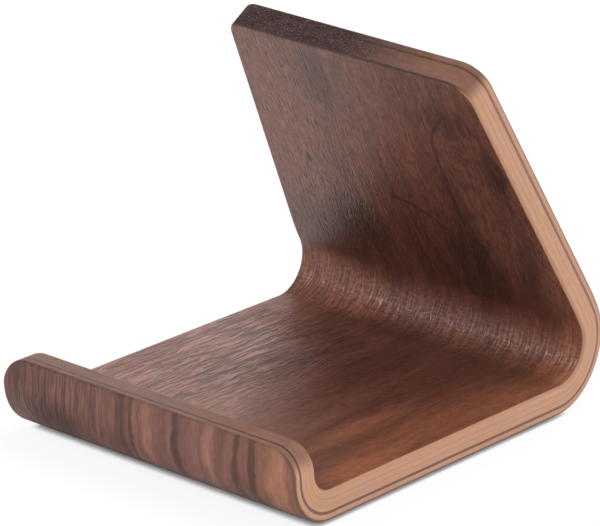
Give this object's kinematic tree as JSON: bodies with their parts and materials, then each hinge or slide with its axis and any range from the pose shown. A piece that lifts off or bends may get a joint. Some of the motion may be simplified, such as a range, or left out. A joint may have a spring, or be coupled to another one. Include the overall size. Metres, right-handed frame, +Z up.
{
  "type": "phone stand",
  "caption": "One-piece bent laminated wood phone stand with a low rounded front lip, flat base and a tapered backrest leaning forward over it, on thin anti-slip pads",
  "frame": {"origin": "on the table, under the middle of the stand's outline seen from above", "axes": "+X to the right across the stand, +Y from the front lip to the rear bend, +Z up"},
  "size_m": [0.08, 0.11, 0.0857],
  "materials": {
    "face_veneer": "satin oiled walnut, open grain",
    "core_ply": "sanded light edge",
    "accent_ply": "sanded dark edge",
    "pad": "matt black"
  },
  "bodies": {
    "root": {"inner_face_veneer": "face_veneer", "core_ply_1": "core_ply", "core_ply_2": "core_ply", "core_ply_3": "core_ply", "accent_ply": "accent_ply", "outer_core_ply": "core_ply", "outer_face_veneer": "face_veneer", "front_left_pad": "pad", "front_right_pad": "pad", "rear_left_pad": "pad", "rear_right_pad": "pad"}
  },
  "joints": []
}
